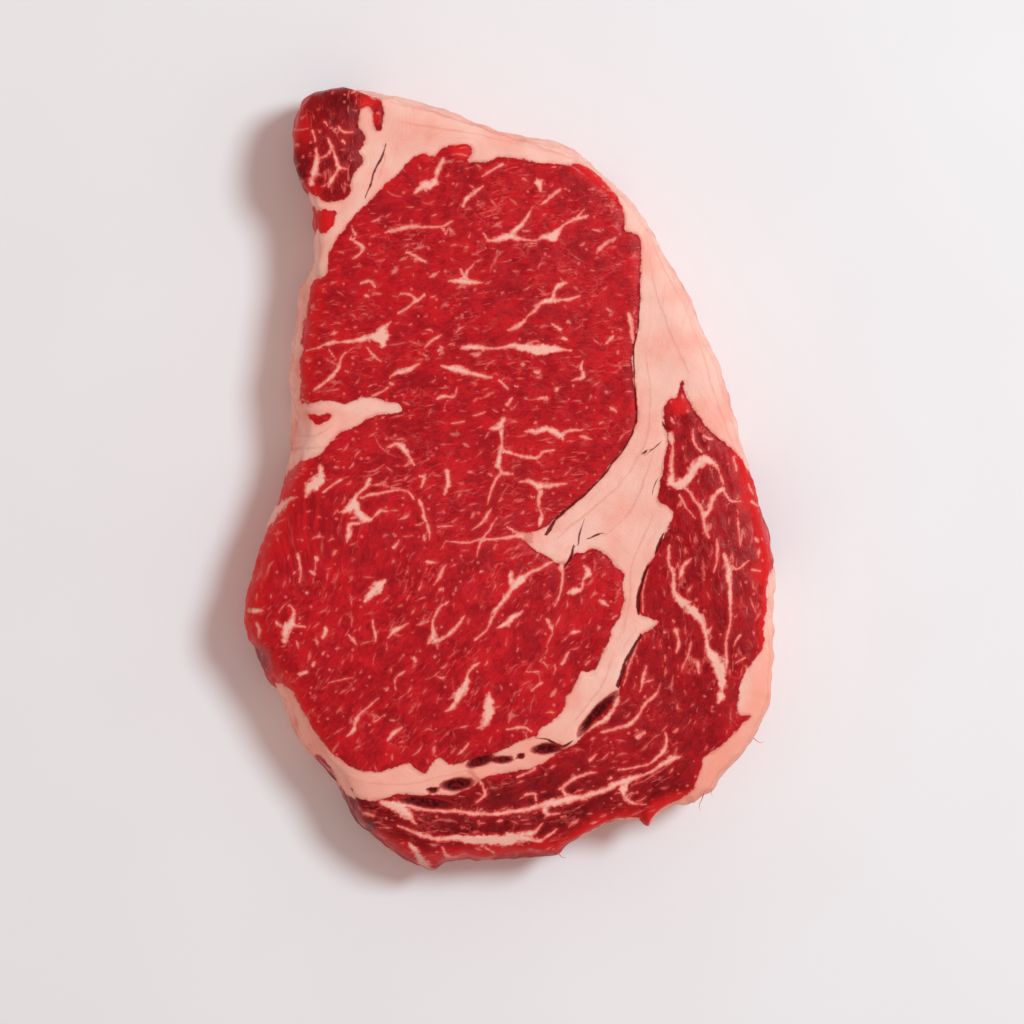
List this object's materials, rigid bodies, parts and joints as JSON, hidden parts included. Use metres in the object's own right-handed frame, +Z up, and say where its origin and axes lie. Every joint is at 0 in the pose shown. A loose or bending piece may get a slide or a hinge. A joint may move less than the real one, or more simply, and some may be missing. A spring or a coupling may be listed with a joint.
{
  "type": "raw beef rib steak",
  "caption": "Boneless raw rib steak lying flat: marbled eye muscle, darker cap wrapped round one side and end, fat band between, small end muscle.",
  "frame": {"origin": "middle of the outline's box, on the flat lower cut face that the steak rests on", "axes": "+Z up through the thickness, +Y along the steak's length towards the end with the small separate muscle, +X towards the side with the thick outer fat and the cap"},
  "size_m": [0.1274, 0.1862, 0.0262],
  "materials": {
    "raw_meat": "moist raw beef: bright red grained lean with pale pink fat seams and fine marbling, softly glossy"
  },
  "bodies": {
    "root": {"steak": "raw_meat"}
  },
  "joints": []
}
